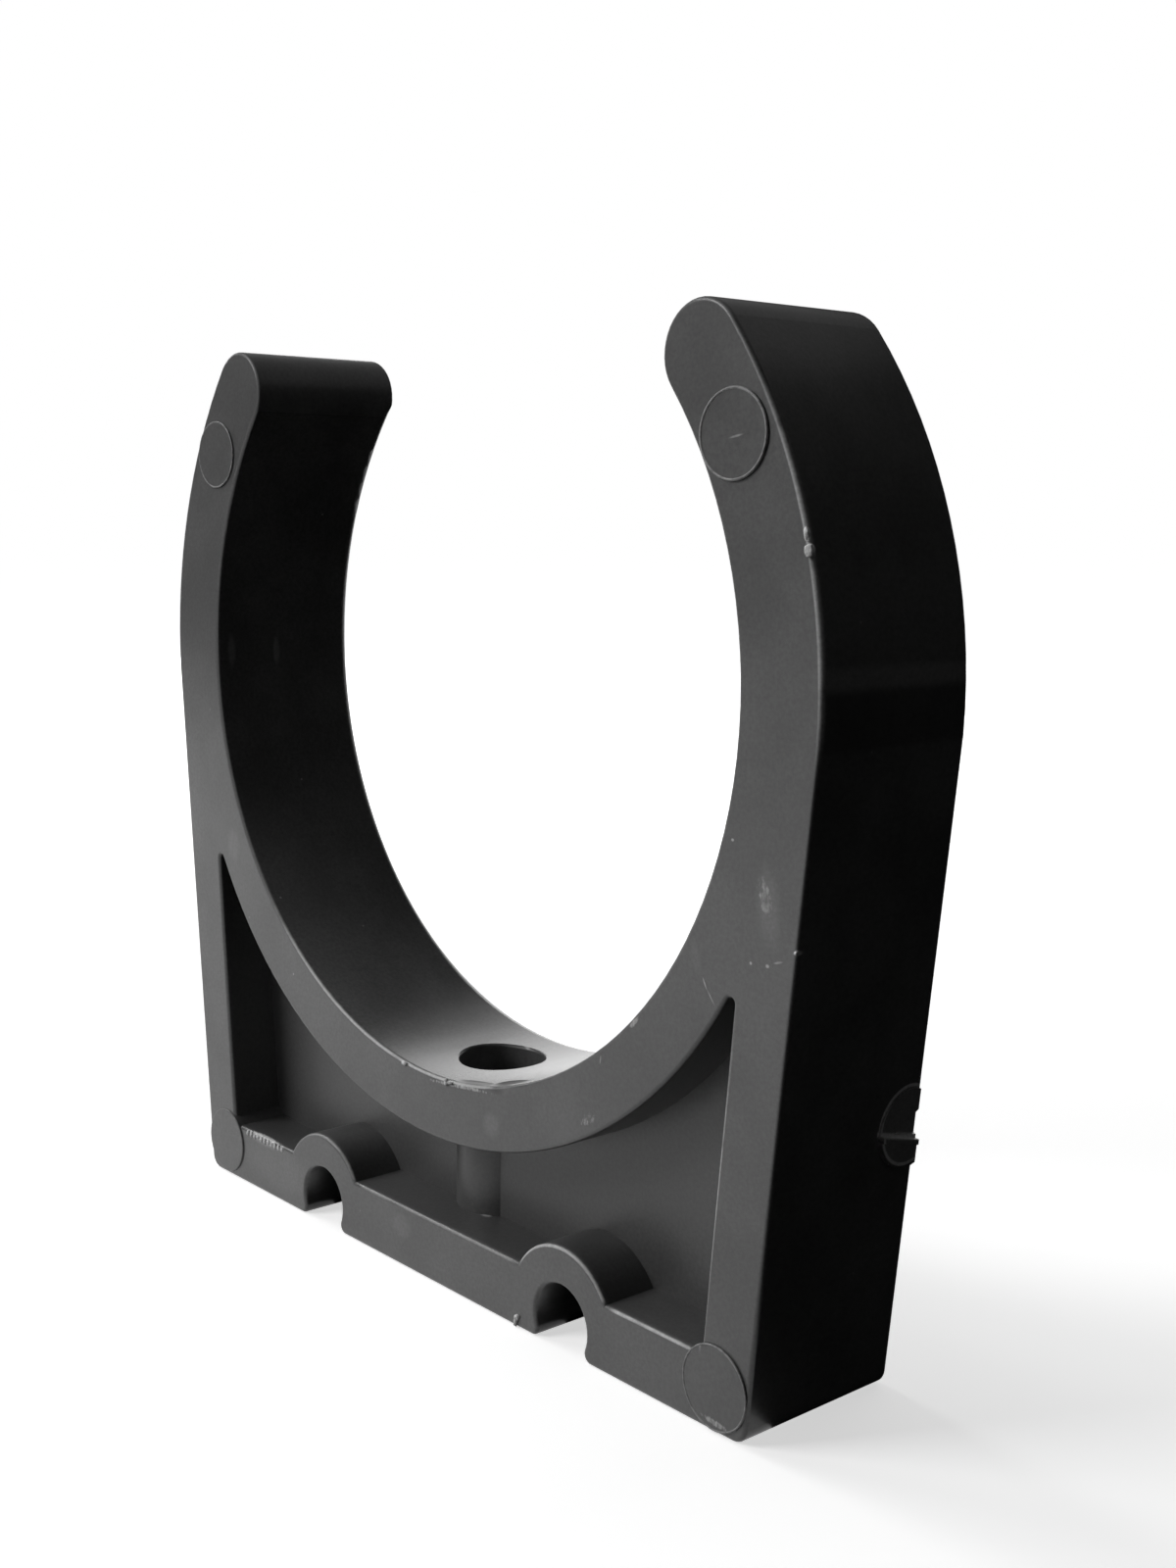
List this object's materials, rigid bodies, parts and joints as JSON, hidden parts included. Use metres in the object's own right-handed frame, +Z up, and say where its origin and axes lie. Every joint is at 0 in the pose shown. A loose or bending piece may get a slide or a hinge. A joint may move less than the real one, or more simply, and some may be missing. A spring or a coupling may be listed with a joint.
{
  "type": "pipe clip",
  "caption": "One-piece snap-in clip that holds a plastic pipe above a wall: a C-shaped collar on a ribbed base, with a screw hole through the collar's floor.",
  "frame": {"origin": "where the screw's axis meets the base plane", "axes": "+Z up from the base to the mouth, +Y along the pipe away from the front face with the ejector prints, +X across the clip, to the right as seen from the front"},
  "size_m": [0.0766, 0.014, 0.0726],
  "materials": {
    "moulded_pvc": "dark grey rigid PVC, injection moulded, with a fine satin grain"
  },
  "bodies": {
    "root": {"pipe_clip": "moulded_pvc"}
  },
  "joints": []
}
